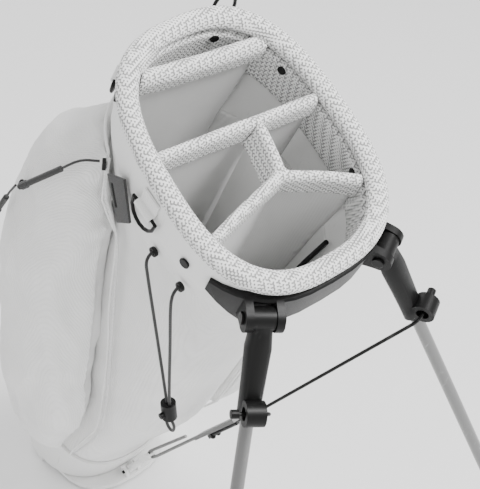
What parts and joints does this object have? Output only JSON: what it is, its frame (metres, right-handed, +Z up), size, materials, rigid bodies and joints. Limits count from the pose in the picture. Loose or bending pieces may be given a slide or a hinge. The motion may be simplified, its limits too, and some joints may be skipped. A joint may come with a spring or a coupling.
{
  "type": "golf stand bag",
  "caption": "Lightweight golf stand bag with a padded divided top, a soft club tube with zipped pockets, and a folding stand worked by a hinged foot plate.",
  "frame": {"origin": "centre of the bounding box on the ground, between the two leg feet and the base", "axes": "+Z up, -Y towards the legs and the open top's low edge, +X to the right seen from the legs' side"},
  "size_m": [0.6116, 0.706, 0.8506],
  "materials": {
    "white_fabric": "ribbed polyester weave, matt",
    "mesh_knit": "diamond air mesh over foam",
    "lining": "smooth grey lining cloth",
    "white_moulded": "white moulded plastic, satin",
    "black_plastic": "black moulded nylon, satin",
    "black_webbing": "woven black webbing",
    "black_metal": "black coated steel",
    "grey_tube": "grey metallic coat on aluminium tube",
    "grey_bar": "grey coated bar",
    "rubber": "matt black rubber",
    "black_cord": "braided black cord",
    "zipper": "coated white zipper"
  },
  "bodies": {
    "bag": {"bag_shell": "white_fabric", "boot": "white_moulded", "collar_screw_front": "black_plastic", "collar_screw_rear": "black_plastic", "cord_eyelet_lower": "black_plastic", "cord_eyelet_upper": "black_plastic", "cord_lock": "black_plastic", "cuff_padding": "mesh_knit", "cuff_rivet_back": "black_plastic", "cuff_rivet_front": "black_plastic", "cuff_rivet_right": "black_plastic", "divider_back": "mesh_knit", "divider_fork": "mesh_knit", "divider_middle": "mesh_knit", "draw_cord": "black_cord", "leg_bracket": "black_plastic", "leg_pin_left": "black_metal", "leg_pin_right": "black_metal", "panel_back": "lining", "panel_fork": "lining", "panel_middle": "lining", "plate_hinge_pin": "black_metal", "pocket_left": "white_fabric", "pocket_right_lower": "white_fabric", "pocket_right_upper": "white_fabric", "rim_pad": "mesh_knit", "ring_back_tab": "white_fabric", "ring_left_tab": "white_fabric", "ring_rear_left_tab": "white_fabric", "side_handle": "black_webbing", "stay_left": "black_metal", "stay_right": "black_metal", "stay_spine": "black_metal", "top_collar": "white_moulded", "zip_slider_side": "black_metal", "zip_slider_top": "black_metal", "zipper_track": "zipper"},
    "leg_left": {"leg_head_left": "black_plastic", "leg_tube_left": "grey_tube", "leg_foot_left": "rubber"},
    "leg_right": {"leg_head_right": "black_plastic", "leg_tube_right": "grey_tube", "leg_foot_right": "rubber"},
    "foot_plate": {"foot_plate": "white_moulded", "plate_pin": "black_metal", "plate_sole": "rubber"},
    "push_rod": {"yoke_bar": "grey_bar", "yoke_clamp": "black_metal", "push_loop": "grey_bar", "push_link": "white_moulded"},
    "wire_left": {"spring_wire_left": "black_metal", "wire_cap_left": "black_plastic"},
    "wire_right": {"spring_wire_right": "black_metal", "wire_cap_right": "black_plastic"},
    "ring_left": {"ring_left": "black_metal"},
    "ring_rear_left": {"ring_rear_left": "black_metal"},
    "ring_back": {"ring_back": "black_metal"},
    "zip_pull_top": {"zip_pull_top": "black_cord"},
    "zip_pull_side": {"zip_pull_side": "black_cord"},
    "lock_button": {"cord_lock_button": "black_plastic"}
  },
  "joints": [
    {"name": "leg_left_fold", "type": "hinge", "parent": "bag", "child": "leg_left", "pos_m": [-0.08, -0.25282, 0.63409], "axis": [0.866, -0.4415, -0.2347], "range_deg": [0, 32.5]},
    {"name": "leg_right_fold", "type": "hinge", "parent": "bag", "child": "leg_right", "pos_m": [0.08, -0.25282, 0.63409], "axis": [0.866, 0.4415, 0.2347], "range_deg": [0, 32.5]},
    {"name": "foot_plate_hinge", "type": "hinge", "parent": "bag", "child": "foot_plate", "pos_m": [0, 0.27692, 0.0063], "axis": [1, 0, 0], "range_deg": [0, 28.3]},
    {"name": "push_rod_hinge", "type": "hinge", "parent": "foot_plate", "child": "push_rod", "pos_m": [0, 0.16392, 0.0163], "axis": [1, 0, 0], "range_deg": [-33.5, 0]},
    {"name": "wire_left_flex", "type": "hinge", "parent": "push_rod", "child": "wire_left", "pos_m": [-0.005, -0.10562, 0.32383], "axis": [0, -0.7938, -0.6082], "range_deg": [-4.5, 0]},
    {"name": "wire_right_flex", "type": "hinge", "parent": "push_rod", "child": "wire_right", "pos_m": [0.005, -0.10562, 0.32383], "axis": [0, -0.7938, -0.6082], "range_deg": [0, 4.5]},
    {"name": "ring_left_swing", "type": "hinge", "parent": "bag", "child": "ring_left", "pos_m": [-0.11654, -0.12337, 0.70817], "axis": [0.0333, 0.8825, 0.4692], "range_deg": [0, 90]},
    {"name": "ring_rear_left_swing", "type": "hinge", "parent": "bag", "child": "ring_rear_left", "pos_m": [-0.06874, -0.02606, 0.79621], "axis": [0.822, 0.5029, 0.2674], "range_deg": [0, 80]},
    {"name": "ring_back_swing", "type": "hinge", "parent": "bag", "child": "ring_back", "pos_m": [0.06313, -0.02284, 0.80992], "axis": [0.8815, -0.417, -0.2217], "range_deg": [-50, 0]},
    {"name": "zip_pull_top_swing", "type": "hinge", "parent": "bag", "child": "zip_pull_top", "pos_m": [-0.11326, -0.046, 0.72397], "axis": [0.3596, 0.3571, 0.8621], "range_deg": [0, 40]},
    {"name": "zip_pull_side_swing", "type": "hinge", "parent": "bag", "child": "zip_pull_side", "pos_m": [-0.15721, 0.05706, 0.65955], "axis": [0.5306, 0.6971, 0.4821], "range_deg": [0, 70]},
    {"name": "lock_button_press", "type": "slide", "parent": "bag", "child": "lock_button", "axis": [1, 0, 0], "range_m": [0, 0.002], "stiffness_N_per_m": 400}
  ],
  "couplings": [
    {"joint": "leg_right_fold", "follows": "leg_left_fold", "ratio": 1},
    {"joint": "foot_plate_hinge", "follows": "leg_left_fold", "ratio": 0.8029},
    {"joint": "push_rod_hinge", "follows": "leg_left_fold", "ratio": -0.9517},
    {"joint": "wire_right_flex", "follows": "leg_left_fold", "ratio": 0.1234},
    {"joint": "wire_left_flex", "follows": "leg_left_fold", "ratio": -0.1234}
  ]
}
